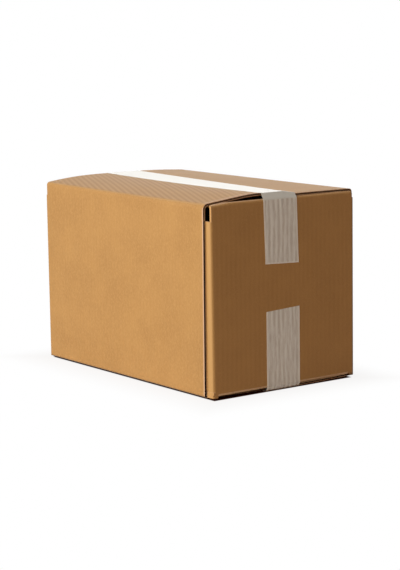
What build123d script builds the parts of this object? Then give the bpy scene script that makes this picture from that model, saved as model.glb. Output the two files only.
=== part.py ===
"""A taped parcel: one folded and glued corrugated blank, closed by two strips of packing tape.

X runs along the length with the taped end that is seen at +X, Y across the width, Z up.
The parcel stands on the floor at Z = 0, with the origin under the middle of its base.
"""

import os
from math import asin, atan2, degrees, hypot, sqrt, tan

from build123d import *

# Carton, measured over its outside, in millimetres
length = 340.0
width = 210.0
height = 222.7
board = 3.0

# Cut edges along the flutes lie open between the two liners
liner = 0.8
flute_depth = 5.0

# Bends of the board, as inside radii
corner_inside = 1.0
fold_inside = 0.5
bottom_inside = 1.0

# Glued joint at the near corner: the side panel stops short, a little out of square,
# and the end panel's tab lies behind it
joint_setback = 11.0
joint_skew = 1.7
tab_length = 35.0
tab_bulge = 2.2
tab_bulge_foot = 0.7
tab_slack = 0.4

# Slots at the corners, which part the flaps from each other
slot_width = 4.2
slot_depth = 23.0
far_slot_depth = 17.3
right_slot_depth = 11.0
bottom_slot_depth = 9.0
panel_inset = 3.3
minor_flap_inset = 10.0
flap_gap = 0.8
seam = 2.0
flap_flare = 4.0
foot_gap = 1.2

# End panels fold into their flaps a little below the right top flap. The fold is level but for its sag
# at the corner at -Y, and the flaps lean inwards by some degrees
crest_gap_far = 3.0
crest_gap_near = 0.15
crest_sag = 1.9
crest_sag_width = 24.0
minor_lean = 6.0

# Flaps of the long sides climb from their creases to a level crown on both sides of the seam.
# The curved share of a climb, the rest of which is straight
crown_width = 60.0
bow = 0.9
bow_near = 0.3

# Left top flap, at -Y, from the far to the near end: inside radius of its crease,
# drop of the crease below the carton's height, and rise of the crown above it
left_inside_far = 1.0
left_inside_middle = 2.0
left_inside_near = 4.0
left_drop_far = 1.1
left_drop_middle = 2.9
left_drop_near = 3.5
left_rise_far = 3.89
left_rise_middle = 2.29
left_rise_near = 3.32

# Right top flap, at +Y: inside radius of its crease, lap of its crown below the left one,
# and climb from its crease to its crown
right_inside = 1.0
right_lap_far = 0.19
right_lap_middle = 0.69
right_lap_near = 3.47
right_climb_far = 2.8
right_climb_middle = 1.7
right_climb_near = 0.55

# Bottom flaps, from their creases down to the crown that rests on the tape
bottom_climb = 1.23

# Tape: a strip along the top and one along the bottom, with their tails on both end panels
tape_width = 48.0
film = 0.25
glue = 0.05
film_bend = 5.0
film_ease = 2.0
film_start = 0.9
top_tail = 73.6
top_tape_near = -5.2
top_tape_far = 8.5
top_tail_drift = 2.3
bottom_tape_middle = -2.2
bottom_tail = 87.2
tail_slant = 2.2
tent_foot = 24.0

half_length = length / 2
half_width = width / 2
base = film + glue
top = base + height
upper_slot = top - slot_depth
far_slot = top - far_slot_depth
right_slot = top - right_slot_depth
lower_slot = base + bottom_slot_depth
joint_edge = half_length - joint_setback
joint_foot = joint_edge - joint_skew
flap_end = half_length - slot_width
flap_depth = half_width - seam / 2
minor_bottom = base + board + flap_gap
panel_half = half_width - panel_inset
minor_half = half_width - minor_flap_inset
crown_edge = crown_width / 2
tape_sheet = width / 2
corner_bend = corner_inside + board
end_fold = fold_inside + board
bottom_crease = bottom_inside + board
core = board - 2 * liner

# Middle of the board in the side panels, end panels and glue tab
side_middle = half_width - board / 2
end_middle = half_length - board / 2
tab_middle = side_middle - board
tab_end = end_middle - tab_length

# Heights of the top flaps' crowns at their far end, middle and near end
stations = (-flap_end, 0, flap_end)
left_crown = (top + left_rise_far, top + left_rise_middle, top + left_rise_near)
right_crown = (
    left_crown[0] - right_lap_far,
    left_crown[1] - right_lap_middle,
    left_crown[2] - right_lap_near,
)

# Each flap at those places: crease radius, crease height, crown height and curved share
right_crease = right_inside + board
left_flap = (
    (left_inside_far + board, top - left_drop_far, left_crown[0], bow),
    (left_inside_middle + board, top - left_drop_middle, left_crown[1], bow),
    (left_inside_near + board, top - left_drop_near, left_crown[2], bow_near),
)
right_flap = (
    (right_crease, right_crown[0] - right_climb_far, right_crown[0], bow),
    (right_crease, right_crown[1] - right_climb_middle, right_crown[1], bow),
    (right_crease, right_crown[2] - right_climb_near, right_crown[2], bow),
)
bottom_flap = (bottom_crease, base + bottom_climb, base, bow)
foot = base + bottom_climb + foot_gap

# Folds of the end panels, under the right flap
far_crest = right_crown[0] - board - crest_gap_far
near_crest = right_crown[2] - board - crest_gap_near


def flap_section(x, side, up, start, thickness, crease, level, crown, share):
    """Section at x of a long side's flap, from the height start up (or down) the panel to the seam.

    side is -1 or +1 along Y and up is +1 for a top flap, -1 for a bottom flap. The climb leaves the
    crease at level and meets the crown's height at a knee, which the curved share rounds off.
    """
    across = half_width - crease - crown_edge
    knee = share * across / 2
    run = across - knee
    rise = crease + up * (crown - level)
    span = hypot(run, rise)
    spring = atan2(rise, run) - asin(crease / span)
    straight = sqrt(span**2 - crease**2) - knee
    turn = side * up * degrees(spring)
    with BuildSketch(Plane.YZ.offset(x)) as section:
        with BuildLine():
            panel = Line((side * side_middle, start), (side * side_middle, level - up * crease))
            roll = JernArc(panel @ 1, panel % 1, crease - board / 2, side * up * 90 - turn)
            climb = Line(roll @ 1, roll @ 1 + (roll % 1) * straight)
            brow = JernArc(climb @ 1, climb % 1, knee / tan(spring / 2) - board / 2, turn)
            Line(brow @ 1, (side * seam / 2, (brow @ 1).Y))
        trace(line_width=thickness)
    return section.sketch


def corner_section(level, end, side, reach, middle):
    """Section of a corner of the wall, from reach along the side, whose board's middle lies at middle."""
    with BuildSketch(Plane.XY.offset(level)) as section:
        with BuildLine():
            FilletPolyline(
                (end * reach, side * middle),
                (end * end_middle, side * middle),
                (end * end_middle, side * (middle - side_middle + panel_half - corner_bend)),
                radius=corner_bend - board / 2,
            )
        trace(line_width=board)
    return section.sketch


def tab_section(level, bulge):
    """Section of half an end panel and the glue tab, with the corner between them bulging out."""
    with BuildSketch(Plane.XY.offset(level)) as section:
        with BuildLine():
            FilletPolyline(
                (end_middle, 0),
                (end_middle, -tab_middle - bulge),
                (joint_edge, tab_slack - tab_middle),
                (tab_end, tab_slack - tab_middle),
                radius=corner_bend - board / 2,
            )
        trace(line_width=board)
    return section.sketch


def end_section(y, end, up, start, crest):
    """Section at y of an end panel from the height start up (or down), its fold at crest, and its flap."""
    with BuildSketch(Plane.XZ.offset(-y)) as section:
        with BuildLine():
            panel = Line((end * end_middle, start), (end * end_middle, crest - up * end_fold))
            fold = JernArc(panel @ 1, panel % 1, end_fold - board / 2, end * up * (90 + minor_lean))
            Line(fold @ 1, fold @ 1 + (fold % 1) * (flap_depth - end_fold))
        trace(line_width=board)
    return section.sketch


def film_path(heights, rise):
    """Edges of the top tape's path, rise off the board: up one end, over the crown, down the other."""
    face = half_length + rise
    bend = flap_end + rise
    tail = near_fold - top_tail - tail_slant
    far, middle, near = (height + rise for height in heights)
    far_tail = FilletPolyline((-face, tail), (-face, far_fold), (-bend, far), radius=film_bend + rise)
    run = ThreePointArc((-bend, far), (0, middle), (bend, near))
    near_tail = FilletPolyline((bend, near), (face, near_fold), (face, tail), radius=film_bend + rise)
    return far_tail, run, near_tail


def film_section(y, heights):
    """Section of the top tape at y."""
    with BuildSketch(Plane.XZ.offset(-y)) as section:
        with BuildLine():
            inner = film_path(heights, glue)
            outer = film_path(heights, glue + film)
            Line(inner[0] @ 0, outer[0] @ 0)
            Line(inner[-1] @ 1, outer[-1] @ 1)
        make_face()
    return section.sketch


def tape_outline(near_middle, far_middle, near_drift, fold, tail):
    """Prism round a tape's outline: a strip in plan, and a tail from the height fold on each end."""
    half_tape = tape_width / 2
    slope = (near_middle - far_middle) / length
    past = 2 * half_length
    up = 1 if tail > 0 else -1
    with BuildPart() as outline:
        with BuildSketch(Plane.XY.offset(fold)):
            with BuildLine():
                Polyline(
                    (-past, far_middle - slope * half_length - half_tape),
                    (past, near_middle + slope * half_length - half_tape),
                    (past, near_middle + slope * half_length + half_tape),
                    (-past, far_middle - slope * half_length + half_tape),
                    close=True,
                )
            make_face()
        extrude(amount=-up * height)
        for end, middle, drift in ((-1, far_middle, 0), (1, near_middle, near_drift)):
            with BuildSketch(Plane.YZ):
                with BuildLine():
                    Polyline(
                        (middle - half_tape, fold),
                        (middle + half_tape, fold),
                        (middle + drift + half_tape, fold + tail + up * tail_slant / 2),
                        (middle + drift - half_tape, fold + tail - up * tail_slant / 2),
                        close=True,
                    )
                make_face()
            extrude(amount=end * past)
    return outline.part


# One blank: four panels and a glue tab folded round into a wall, with four flaps above and four below.
# Upper and lower folds of the end panels, with flaps that lie under those of the long sides and are narrower
with BuildPart() as end_flaps:
    for end, crest in ((-1, far_crest), (1, near_crest)):
        loft(
            sections=[
                end_section(-panel_half, end, 1, right_slot, crest - crest_sag),
                end_section(crest_sag_width - panel_half, end, 1, right_slot, crest),
                end_section(panel_half, end, 1, right_slot, crest),
            ],
            ruled=True,
        )
        flat = end_section(-panel_half, end, -1, lower_slot, minor_bottom)
        extrude(flat, amount=2 * panel_half, dir=(0, 1, 0))
    with BuildSketch():
        for side in (-1, 1):
            with Locations((0, side * (panel_half + minor_half) / 2)):
                Rectangle(2 * (half_length - end_fold), panel_half - minor_half)
    extrude(amount=2 * height, mode=Mode.SUBTRACT)

with BuildPart() as carton:
    # Flaps of the two long sides: the top ones change along their length, the bottom ones don't
    for side, flap in ((-1, left_flap), (1, right_flap)):
        loft(
            sections=[
                flap_section(x, side, 1, upper_slot, board, *station)
                for x, station in zip(stations, flap)
            ]
        )
        whole_bottom = flap_section(-flap_end, side, -1, lower_slot, board, *bottom_flap)
        extrude(whole_bottom, amount=2 * flap_end, dir=(1, 0, 0))

        # Their ends are cut along the flutes
        near_end = joint_edge if side < 0 else flap_end
        far_cut = (-flap_end, flute_depth, flap[0])
        near_cut = (near_end - flute_depth, flap_end - near_end + flute_depth, flap[-1])
        for x, depth, station in (far_cut, near_cut):
            open_top = flap_section(x, side, 1, upper_slot, core, *station)
            open_bottom = flap_section(x, side, -1, lower_slot, core, *bottom_flap)
            for section in (open_top, open_bottom):
                extrude(section, amount=depth, dir=(1, 0, 0), mode=Mode.SUBTRACT)

    # The glued side's flaps reach out towards the seam
    for level, edge, depth in ((upper_slot, joint_edge, height), (lower_slot, joint_foot, -lower_slot)):
        with BuildSketch(Plane.XY.offset(level)):
            with BuildLine():
                Polyline(
                    (edge, -half_width),
                    (edge, -half_width + board),
                    (edge + flap_flare, -seam / 2),
                    (half_length, -seam / 2),
                    (half_length, -half_width),
                    close=True,
                )
            make_face()
        extrude(amount=depth, mode=Mode.SUBTRACT)

    # Wall between the slots
    with BuildSketch(Plane.XY.offset(lower_slot)):
        with BuildLine():
            FilletPolyline(
                (joint_edge, -side_middle),
                (-end_middle, -side_middle),
                (-end_middle, side_middle),
                (end_middle, side_middle),
                (end_middle, 0),
                radius=corner_bend - board / 2,
            )
        trace(line_width=board)
    extrude(amount=upper_slot - lower_slot)

    # The glued panel's edge leans back downwards and lies open like the flaps' ends
    with BuildSketch(Plane.XZ.offset(half_width - board)):
        with BuildLine():
            Polyline((joint_edge, upper_slot), (joint_edge, lower_slot), (joint_foot, lower_slot), close=True)
        make_face()
    extrude(amount=board, mode=Mode.SUBTRACT)
    with BuildSketch(Plane.XZ.offset(side_middle - core / 2)):
        with BuildLine():
            Polyline(
                (joint_edge, upper_slot),
                (joint_foot, lower_slot),
                (joint_foot - flute_depth, lower_slot),
                (joint_edge - flute_depth, upper_slot),
                close=True,
            )
        make_face()
    extrude(amount=core, mode=Mode.SUBTRACT)

    # Half an end panel, and the tab behind the glued edge
    loft(sections=[tab_section(lower_slot, tab_bulge_foot), tab_section(upper_slot, tab_bulge)])

    # Corners that reach further up or down than the slots beside them
    for end in (-1, 1):
        add(corner_section(upper_slot, end, 1, flap_end, side_middle))
    extrude(amount=right_slot - upper_slot)
    add(corner_section(upper_slot, -1, -1, flap_end, side_middle))
    extrude(amount=far_slot - upper_slot)
    for end, side in ((-1, -1), (-1, 1), (1, 1)):
        add(corner_section(foot, end, side, flap_end, side_middle))
    add(corner_section(foot, 1, -1, joint_edge, tab_middle + tab_bulge_foot))
    extrude(amount=lower_slot - foot)

    # End panels beyond the slots
    with BuildSketch(Plane.XY.offset(upper_slot)):
        for end in (-1, 1):
            with Locations((end * end_middle, 0)):
                Rectangle(board, 2 * panel_half)
    extrude(amount=right_slot - upper_slot)
    add(end_flaps.part)

# Top tape, a little askew along the seam, pulled over both ends
far_fold = far_crest - film_start
near_fold = near_crest - film_start
top_outline = tape_outline(top_tape_near, top_tape_far, top_tail_drift, near_fold, -top_tail)
with BuildPart() as top_tape:
    loft(
        sections=[
            film_section(-tape_sheet, left_crown),
            film_section(seam / 2, left_crown),
            film_section(tent_foot, right_crown),
            film_section(tape_sheet, right_crown),
        ],
        ruled=True,
    )
    add(top_outline, mode=Mode.INTERSECT)

# Bottom tape, flat under the seam and up both ends
bottom_fold = minor_bottom + end_fold / 2
bottom_outline = tape_outline(bottom_tape_middle, bottom_tape_middle, 0, bottom_fold, bottom_tail)
with BuildPart() as bottom_tape:
    face = half_length + glue + film / 2
    bend = flap_end + film_ease
    with BuildSketch(Plane.XZ.offset(-tape_sheet)):
        with BuildLine():
            FilletPolyline(
                (-face, bottom_fold + bottom_tail + tail_slant),
                (-face, bottom_fold),
                (-bend, film / 2),
                (bend, film / 2),
                (face, bottom_fold),
                (face, bottom_fold + bottom_tail + tail_slant),
                radius=film_ease,
            )
        trace(line_width=film)
    extrude(amount=2 * tape_sheet)
    add(bottom_outline, mode=Mode.INTERSECT)

os.makedirs("parts", exist_ok=True)
carton.part.label = "carton"
export_step(carton.part, "parts/carton.step")
top_tape.part.label = "top_tape"
export_step(top_tape.part, "parts/top_tape.step")
bottom_tape.part.label = "bottom_tape"
export_step(bottom_tape.part, "parts/bottom_tape.step")
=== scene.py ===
"""Materials, light and camera for the taped parcel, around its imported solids."""

import math

import bpy
from mathutils import Matrix, Vector

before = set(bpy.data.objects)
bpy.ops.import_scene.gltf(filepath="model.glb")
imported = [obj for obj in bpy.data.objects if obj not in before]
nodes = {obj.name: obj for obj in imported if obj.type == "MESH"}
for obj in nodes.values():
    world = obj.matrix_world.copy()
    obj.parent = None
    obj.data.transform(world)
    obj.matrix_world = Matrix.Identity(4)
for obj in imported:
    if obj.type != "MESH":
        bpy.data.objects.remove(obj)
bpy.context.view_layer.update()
scene = bpy.context.scene
scene.view_settings.view_transform = "Standard"

# Main sizes of the parcel, in metres
HALF_LENGTH = 0.170
HALF_WIDTH = 0.105
FLUTE_PITCH = 0.0065
FLUTE_WOBBLE = 0.0016
RAW_EDGE_INSET = 0.0015

# Glued joint: its edge at the floor, its lean for each metre of height, and the foot of the slot over it
JOINT_FOOT = 0.1572
JOINT_LEAN = 0.0089
SLOT_FOOT = 0.200

# Near end: where it starts, half the width of the painted highlight along its foot, its far upright fold and
# the slot beside that
END_START = 0.1655
FOOT_HIGHLIGHT_HALF_WIDTH = 0.0950
FAR_FOLD = 0.1005
FAR_SLOT = 0.0975

# Ribs on the left top flap, in waves for each metre
RIBS_ACROSS = 147.0
RIBS_ALONG = 64.0

# Tape tails: the bend at their top, the height between upper and lower ones, and their middle lines
BEND_TOP = 0.2195
BEND_FOOT = 0.2175
TAIL_SPLIT = 0.12
NEAR_MIDDLE = 0.00164
NEAR_SLANT = -0.03125
FAR_MIDDLE = 0.0085
LOWER_MIDDLE = -0.0022
CUT_HEIGHT = 0.1452
CUT_SLOPE = 0.0458
CREASE_MIDDLE = -0.0033
STREAK_DRIFT = 0.005

# Depths of the fine relief, and reach of the worn edges with their painted highlight and of the painted shade
# in hollows, in metres
KRAFT_RELIEF = 0.0001
TAPE_RELIEF = 0.0003
EDGE_RADIUS = 0.0008
HOLLOW_REACH = 0.004

# Colours, as linear values
KRAFT = (0.55, 0.30, 0.092)
KRAFT_PALE = (0.64, 0.37, 0.130)
KRAFT_DARK = (0.45, 0.235, 0.068)
TOP_SHEEN = (0.64, 0.42, 0.20)
RAW_EDGE = (0.55, 0.34, 0.19)
WORN_EDGE_AND_HIGHLIGHT = (0.80, 0.55, 0.36)
FOOT_HIGHLIGHT = (0.95, 0.72, 0.45)
PAINTED_SHADE = (0.03, 0.010, 0.003)
TAPE = (0.71, 0.64, 0.49)
TAPE_PALE = (0.97, 0.96, 0.82)
TAPE_LEVEL_SHEEN = (0.83, 0.855, 0.73)
TAPE_RIM_AND_GLINT = (1.0, 0.96, 0.80)
WHITE = (1.0, 1.0, 1.0)
FILL = (1.0, 0.54, 0.40)
FLOOR = (0.72, 0.62, 0.50)
UNDER_SHADOW = (0.14, 0.05, 0.03)

# Light: strength of the fill, whiteness of the floor beside the parcel, and lamps as place, size and power
AMBIENT = 0.142
FLOOR_SIZE = 12.0
UNDER_INSET = 0.004
WHITE_BESIDE = 0.86
KEY = ((0.12, -3.04, 1.82), 2.0, 106.0)
REAR = ((-2.2, 1.55, 0.75), 1.6, 10.8)
LAMP_AIM = Vector((0.0, 0.0, 0.1))

# Camera at the photograph's place, fitted to the carton's corners
AZIMUTH = math.radians(53.856)
ELEVATION = math.radians(8.729)
ROLL = math.radians(-0.913)
DISTANCE = 2.14298
AIM = Vector((0.0, 0.0, 0.102439))
FOCAL_LENGTH = 111.816
SENSOR_WIDTH = 36.0
SHIFT_X = 0.007516
SHIFT_Y = -0.002772


class Graph:
    """Small helper that adds and links shader nodes."""

    def __init__(self, name):
        self.material = bpy.data.materials.new(name)
        self.material.use_nodes = True
        self.tree = self.material.node_tree
        self.shader = self.tree.nodes["Principled BSDF"]
        self.output = self.tree.nodes["Material Output"]

    def node(self, kind, **settings):
        made = self.tree.nodes.new(kind)
        for key, value in settings.items():
            setattr(made, key, value)
        return made

    def feed(self, socket, value):
        if isinstance(value, bpy.types.NodeSocket):
            self.tree.links.new(value, socket)
        else:
            socket.default_value = value

    def math(self, operation, first, second=0.0, third=None):
        made = self.node("ShaderNodeMath", operation=operation)
        self.feed(made.inputs[0], first)
        self.feed(made.inputs[1], second)
        if third is not None:
            self.feed(made.inputs[2], third)
        return made.outputs[0]

    def size(self, value):
        return self.math("ABSOLUTE", value)

    def above(self, value, limit):
        return self.math("GREATER_THAN", value, limit)

    def below(self, value, limit):
        return self.math("LESS_THAN", value, limit)

    def both(self, *masks):
        """1 only where all the masks are 1."""
        result = masks[0]
        for mask in masks[1:]:
            result = self.math("MULTIPLY", result, mask)
        return result

    def either(self, first, second):
        """The stronger of two masks."""
        return self.math("MAXIMUM", first, second)

    def choose(self, switch, off, on):
        """One value where the switch is 0, and the other where it is 1."""
        return self.math("MULTIPLY_ADD", self.math("SUBTRACT", on, off), switch, off)

    def ramp(self, value, low, high):
        """Smooth rise from 0 at the first limit to 1 at the second, which may be the lower one."""
        made = self.node("ShaderNodeMapRange", interpolation_type="SMOOTHSTEP")
        self.feed(made.inputs["Value"], value)
        made.inputs["From Min"].default_value = low
        made.inputs["From Max"].default_value = high
        return made.outputs["Result"]

    def swing(self, distance, pitch):
        """Sine between -1 and 1 with one wave in each pitch."""
        return self.math("SINE", self.math("MULTIPLY", distance, 2 * math.pi / pitch))

    def waves(self, distance, pitch):
        """Sine between 0 and 1 with one wave in each pitch."""
        return self.math("MULTIPLY_ADD", self.swing(distance, pitch), 0.5, 0.5)

    def mix(self, factor, first, second):
        made = self.node("ShaderNodeMix", data_type="RGBA")
        self.feed(made.inputs["Factor"], factor)
        colours = [s for s in made.inputs if s.type == "RGBA"]
        for socket, value in zip(colours, (first, second)):
            if isinstance(value, tuple):
                value = (*value, 1.0)
            self.feed(socket, value)
        return [s for s in made.outputs if s.type == "RGBA"][0]

    def tint(self, tone, colour, mask, strength=1.0):
        """The tone with a colour laid over it where the mask is."""
        if strength != 1.0:
            mask = self.math("MULTIPLY", mask, strength)
        return self.mix(mask, tone, colour)

    def noise(self, vector, scale, detail=3.0, roughness=0.55):
        made = self.node("ShaderNodeTexNoise")
        self.feed(made.inputs["Vector"], vector)
        made.inputs["Scale"].default_value = scale
        made.inputs["Detail"].default_value = detail
        made.inputs["Roughness"].default_value = roughness
        return made.outputs["Fac"]

    def wander(self, vector, scale, reach):
        """Noise around 0, over the given reach."""
        return self.math("MULTIPLY", self.math("SUBTRACT", self.noise(vector, scale), 0.5), reach)

    def squeeze_height(self, vector, factor):
        """Coordinates that draw a pattern out up and down."""
        made = self.node("ShaderNodeMapping")
        self.feed(made.inputs["Vector"], vector)
        made.inputs["Scale"].default_value = (1.0, 1.0, factor)
        return made.outputs["Vector"]

    def between(self, first, second):
        """Cosine of the angle between two directions."""
        made = self.node("ShaderNodeVectorMath", operation="DOT_PRODUCT")
        self.feed(made.inputs[0], first)
        self.feed(made.inputs[1], second)
        return made.outputs["Value"]

    def parts(self, vector):
        made = self.node("ShaderNodeSeparateXYZ")
        self.feed(made.inputs[0], vector)
        return made.outputs[0], made.outputs[1], made.outputs[2]

    def emboss(self, height, distance, strength, normal=None):
        """Fine relief on the surface."""
        made = self.node("ShaderNodeBump")
        self.feed(made.inputs["Height"], height)
        made.inputs["Distance"].default_value = distance
        made.inputs["Strength"].default_value = strength
        if normal is not None:
            self.feed(made.inputs["Normal"], normal)
        self.feed(self.shader.inputs["Normal"], made.outputs["Normal"])


def kraft_material():
    """Brown kraft liner with fibres, faint washboard lines, raw cut edges and worn edges, with painted
    highlights, painted sheen and painted shade laid into its colour.
    """
    g = Graph("kraft_board")
    place = g.node("ShaderNodeTexCoord").outputs["Object"]
    facing = g.node("ShaderNodeNewGeometry").outputs["True Normal"]
    x, y, z = g.parts(place)
    normal_x, _, normal_z = g.parts(facing)
    face_x = g.size(normal_x)
    face_z = g.size(normal_z)
    on_end = g.above(face_x, 0.7)
    on_left = g.below(y, 0.0)

    # Clouds and fibres of the paper, and flutes that run up the panels and on into their flaps
    cloud = g.noise(place, scale=22.0, detail=4.0)
    fibre = g.noise(g.squeeze_height(place, 0.45), scale=900.0, detail=4.0, roughness=0.7)
    tone = g.mix(g.math("MULTIPLY_ADD", g.ramp(cloud, 0.3, 0.72), 0.6, 0.3), KRAFT_DARK, KRAFT)
    tone = g.tint(tone, KRAFT_PALE, g.ramp(fibre, 0.35, 0.75), strength=0.7)
    across = g.math("ADD", g.choose(on_end, x, y), g.wander(place, 14.0, FLUTE_WOBBLE))
    wave = g.waves(across, FLUTE_PITCH)
    patches = g.ramp(g.noise(place, scale=35.0), 0.35, 0.65)
    shade = g.both(wave, g.choose(on_end, 0.12, 0.27), patches)
    # The end panels are painted darker, a painted shade on the faces turned from the key light.
    tone = g.mix(g.math("MULTIPLY_ADD", on_end, 0.32, shade), tone, KRAFT_DARK)

    # The top faces are painted paler, a painted sheen from light grazing them.
    tone = g.tint(tone, TOP_SHEEN, g.above(face_z, 0.7), strength=0.4)

    # Faint ribs of the washboard across the left top flap, painted darker in bands as painted shade of their
    # relief, and dark specks all over
    left_top = g.both(g.above(face_z, 0.9), on_left)
    slant = g.math("MULTIPLY_ADD", y, RIBS_ACROSS, g.math("MULTIPLY", x, RIBS_ALONG))
    ribs = g.both(g.waves(slant, 1.0), left_top)
    tone = g.tint(tone, KRAFT_DARK, ribs, strength=0.65)
    speck = g.noise(place, scale=420.0, detail=2.0)
    tone = g.tint(tone, KRAFT_DARK, g.ramp(speck, 0.70, 0.78), strength=0.5)

    # Cut edges lie inside the outer faces, and edges are worn pale, partly as a painted highlight where their
    # rounding catches the light
    inside = g.below(g.size(x), HALF_LENGTH - RAW_EDGE_INSET)
    tone = g.tint(tone, RAW_EDGE, g.both(on_end, inside))
    edge = g.node("ShaderNodeBevel", samples=8)
    edge.inputs["Radius"].default_value = EDGE_RADIUS
    rounded = edge.outputs["Normal"]
    tone = g.tint(tone, WORN_EDGE_AND_HIGHLIGHT, g.ramp(g.between(rounded, facing), 0.99, 0.85), strength=0.7)

    # The open flutes and the depths of the joints are painted dark, a painted shade in the hollows
    depth = g.math("ADD", y, HALF_WIDTH)
    short_of_joint = g.math("SUBTRACT", g.math("MULTIPLY_ADD", z, JOINT_LEAN, JOINT_FOOT), x)
    flutes = g.both(g.above(depth, 0.0007), g.below(depth, 0.0023))
    flutes = g.either(flutes, g.both(on_end, g.below(depth, 0.0015)))
    flutes = g.both(flutes, g.above(short_of_joint, -0.0003), g.below(z, SLOT_FOOT))
    hollow = g.node("ShaderNodeAmbientOcclusion", samples=12, only_local=True)
    hollow.inputs["Distance"].default_value = HOLLOW_REACH
    tone = g.tint(tone, PAINTED_SHADE, g.either(flutes, g.ramp(hollow.outputs["AO"], 0.34, 0.08)))

    # The glued panel's last edge and the near end of its top flap are painted pale, as painted highlights
    # where their edges catch the light
    last_edge = g.both(g.ramp(short_of_joint, 0.0024, 0.0010), g.below(depth, 0.0003))
    brow = g.both(g.ramp(short_of_joint, 0.012, 0.002), left_top)
    edge_highlight = g.either(g.math("MULTIPLY", last_edge, 0.8), g.math("MULTIPLY", brow, 0.4))
    tone = g.tint(tone, WORN_EDGE_AND_HIGHLIGHT, edge_highlight)

    # The near end's foot is painted pale, a painted highlight where its fold catches light from the floor,
    # and its far upright fold and the foot of that are painted dark, a painted shade
    at_end = g.above(x, END_START)
    foot_highlight = g.both(g.ramp(z, 0.0077, 0.0066), at_end, g.below(g.size(y), FOOT_HIGHLIGHT_HALF_WIDTH))
    tone = g.tint(tone, FOOT_HIGHLIGHT, foot_highlight, strength=0.8)
    # Painted shade on the far upright fold and at its foot
    fold = g.both(g.ramp(face_x, 0.999, 0.97), g.ramp(face_x, 0.30, 0.50), g.above(y, FAR_FOLD))
    far_foot_shade = g.both(g.ramp(z, 0.0066, 0.0048), g.above(y, FAR_SLOT))
    tone = g.tint(tone, PAINTED_SHADE, g.both(g.either(fold, far_foot_shade), at_end), strength=0.6)

    # The fold beside the joint is painted pale, as painted light on the lit strip at the corner
    upright = g.both(g.below(face_x, 0.7), g.below(face_z, 0.5))
    beside_joint = g.both(g.ramp(short_of_joint, -0.0025, -0.0035), upright, on_left)
    tone = g.tint(tone, KRAFT_PALE, beside_joint)
    g.feed(g.shader.inputs["Base Color"], tone)

    g.shader.inputs["Roughness"].default_value = 0.62
    g.shader.inputs["Specular IOR Level"].default_value = 0.4
    relief = g.math("ADD", g.math("MULTIPLY", wave, 0.7), g.math("MULTIPLY", fibre, 0.12))
    relief = g.math("MULTIPLY_ADD", ribs, 0.6, relief)
    g.emboss(relief, KRAFT_RELIEF, 1.0, normal=rounded)
    return g.material


def tape_material():
    """Glossy clear film with a milky haze, pale edges and streaks where it lies over the flutes, a painted
    sheen on its level run and a painted glint on its crease.
    """
    g = Graph("packing_tape")
    place = g.node("ShaderNodeTexCoord").outputs["Object"]
    facing = g.node("ShaderNodeNewGeometry").outputs["True Normal"]
    x, y, z = g.parts(place)
    near = g.above(x, 0.0)
    upper = g.above(z, TAIL_SPLIT)
    tail = g.ramp(z, BEND_TOP, BEND_FOOT)

    # Streaks of uneven strength on the tails, and none on the run over the flaps
    drift = g.wander(g.squeeze_height(place, 0.3), 60.0, STREAK_DRIFT)
    wave = g.swing(g.math("ADD", y, drift), FLUTE_PITCH)
    patches = g.ramp(g.noise(g.squeeze_height(place, 0.6), scale=70.0), 0.4, 0.65)
    strength = g.math("MULTIPLY_ADD", patches, 0.30, g.math("MULTIPLY", upper, 0.12))
    streak = g.noise(g.squeeze_height(place, 0.14), scale=420.0, roughness=0.6)
    level = g.choose(tail, 0.5, g.math("MULTIPLY_ADD", wave, strength, streak))
    streaks = g.mix(g.ramp(level, 0.2, 0.8), TAPE, TAPE_PALE)
    # The run over the flaps takes a paler, cooler colour than the tails: a painted sheen
    tone = g.mix(tail, TAPE_LEVEL_SHEEN, streaks)

    # A small crease in the film under the bend, raised by the bump and painted pale as a painted glint
    beside = g.size(g.math("SUBTRACT", y, CREASE_MIDDLE))
    along = g.both(g.ramp(z, 0.2085, 0.2110), g.ramp(z, 0.2180, 0.2165))
    crease = g.both(g.ramp(beside, 0.0013, 0.0002), along, near)

    # Pale edges along the tails, whose middle line differs from one to the next
    near_middle = g.math("MULTIPLY_ADD", z, NEAR_SLANT, NEAR_MIDDLE)
    upper_middle = g.choose(near, FAR_MIDDLE, near_middle)
    off_middle = g.math("SUBTRACT", y, g.choose(upper, LOWER_MIDDLE, upper_middle))
    over_cut = g.math("SUBTRACT", g.math("MULTIPLY_ADD", off_middle, CUT_SLOPE, z), CUT_HEIGHT)
    sides = g.ramp(g.size(off_middle), 0.0216, 0.0227)
    cut = g.both(g.ramp(over_cut, 0.0022, 0.0011), upper)
    rim = g.both(g.either(sides, cut), tail)
    # The crease is painted pale as a painted glint, and the rims are the film's pale edges
    tone = g.tint(tone, TAPE_RIM_AND_GLINT, g.either(crease, rim))
    g.feed(g.shader.inputs["Base Color"], tone)

    # The tails and bends shine more than the level run
    g.shader.inputs["Roughness"].default_value = 0.28
    g.shader.inputs["Specular IOR Level"].default_value = 0.3
    off_level = g.ramp(g.parts(facing)[2], 0.95, 0.7)
    g.feed(g.shader.inputs["Coat Weight"], off_level)
    g.shader.inputs["Coat Roughness"].default_value = 0.16
    g.shader.inputs["Coat IOR"].default_value = 1.8
    g.shader.inputs["Alpha"].default_value = 0.85
    g.emboss(g.math("MULTIPLY_ADD", crease, 9.0, level), TAPE_RELIEF, 0.6)
    return g.material


def dress(node, material):
    """Give a node of the part its material."""
    mesh = nodes[node].data
    mesh.materials.clear()
    mesh.materials.append(material)


def seen_rays(tree):
    """1 for the rays that show the background itself: camera, glossy and transmission rays."""
    path = tree.nodes.new("ShaderNodeLightPath")
    first = tree.nodes.new("ShaderNodeMath")
    first.operation = "MAXIMUM"
    second = tree.nodes.new("ShaderNodeMath")
    second.operation = "MAXIMUM"
    tree.links.new(path.outputs["Is Camera Ray"], first.inputs[0])
    tree.links.new(path.outputs["Is Glossy Ray"], first.inputs[1])
    tree.links.new(first.outputs[0], second.inputs[0])
    tree.links.new(path.outputs["Is Transmission Ray"], second.inputs[1])
    return second.outputs[0]


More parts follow.
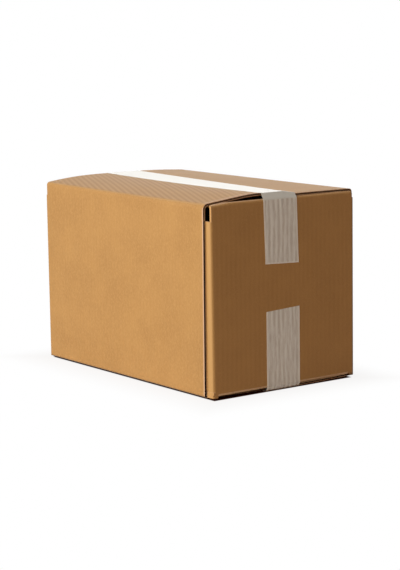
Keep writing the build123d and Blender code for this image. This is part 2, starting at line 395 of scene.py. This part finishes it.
def floor_material():
    """Pale floor, white to the eye away from the parcel, with its shadow close by and a painted shadow under
    it.
    """
    g = Graph("floor_white")
    x, y, _ = g.parts(g.node("ShaderNodeTexCoord").outputs["Object"])
    over_x = g.math("SUBTRACT", g.size(x), HALF_LENGTH)
    over_y = g.math("SUBTRACT", g.size(y), HALF_WIDTH - UNDER_INSET)
    away = g.math("MAXIMUM", over_x, over_y)
    outside = g.ramp(away, -0.001, 0.0005)
    white = g.both(outside, g.choose(g.ramp(away, -0.015, 0.07), WHITE_BESIDE, 1.0))
    diffuse = g.node("ShaderNodeBsdfDiffuse")
    # Under the parcel the floor is painted dark, a painted contact shadow
    g.feed(diffuse.inputs["Color"], g.mix(outside, UNDER_SHADOW, FLOOR))
    glow = g.node("ShaderNodeEmission")
    blend = g.node("ShaderNodeMixShader")
    g.feed(blend.inputs[0], g.both(seen_rays(g.tree), white))
    g.feed(blend.inputs[1], diffuse.outputs[0])
    g.feed(blend.inputs[2], glow.outputs[0])
    g.feed(g.output.inputs["Surface"], blend.outputs[0])
    return g.material


def soft_light(name, place, size, power):
    """Square softbox that faces the parcel."""
    data = bpy.data.lights.new(name, "AREA")
    data.shape = "SQUARE"
    data.size = size
    data.energy = power
    lamp = bpy.data.objects.new(name, data)
    scene.collection.objects.link(lamp)
    lamp.location = place
    lamp.rotation_mode = "QUATERNION"
    lamp.rotation_quaternion = (LAMP_AIM - Vector(place)).to_track_quat("-Z", "Y")
    return lamp


kraft = kraft_material()
tape = tape_material()
dress("carton", kraft)
dress("top_tape", tape)
dress("bottom_tape", tape)

# Background, white to the eye and a dim warm fill as a light
world = bpy.data.worlds.new("studio")
scene.world = world
world.use_nodes = True
sky = world.node_tree
backdrop = sky.nodes["Background"]
backdrop.inputs["Color"].default_value = (*WHITE, 1.0)
fill = sky.nodes.new("ShaderNodeBackground")
fill.inputs["Color"].default_value = (*FILL, 1.0)
fill.inputs["Strength"].default_value = AMBIENT
blend = sky.nodes.new("ShaderNodeMixShader")
sky.links.new(seen_rays(sky), blend.inputs[0])
sky.links.new(fill.outputs[0], blend.inputs[1])
sky.links.new(backdrop.outputs[0], blend.inputs[2])
sky.links.new(blend.outputs[0], sky.nodes["World Output"].inputs["Surface"])

bpy.ops.mesh.primitive_plane_add(size=FLOOR_SIZE, location=(0.0, 0.0, 0.0))
floor = bpy.context.object
floor.name = "floor"
floor.data.materials.append(floor_material())

soft_light("key", *KEY)
rear = soft_light("rear", *REAR)
rear.visible_camera = False

back = Vector((
    math.sin(AZIMUTH) * math.cos(ELEVATION),
    -math.cos(AZIMUTH) * math.cos(ELEVATION),
    math.sin(ELEVATION),
))
lens = bpy.data.cameras.new("camera")
lens.lens = FOCAL_LENGTH
lens.sensor_width = SENSOR_WIDTH
lens.shift_x = SHIFT_X
lens.shift_y = SHIFT_Y
camera = bpy.data.objects.new("camera", lens)
scene.collection.objects.link(camera)
camera.rotation_mode = "QUATERNION"
camera.location = AIM + back * DISTANCE
turn = (-back).to_track_quat("-Z", "Y").to_matrix() @ Matrix.Rotation(ROLL, 3, "Z")
camera.rotation_quaternion = turn.to_quaternion()
scene.camera = camera
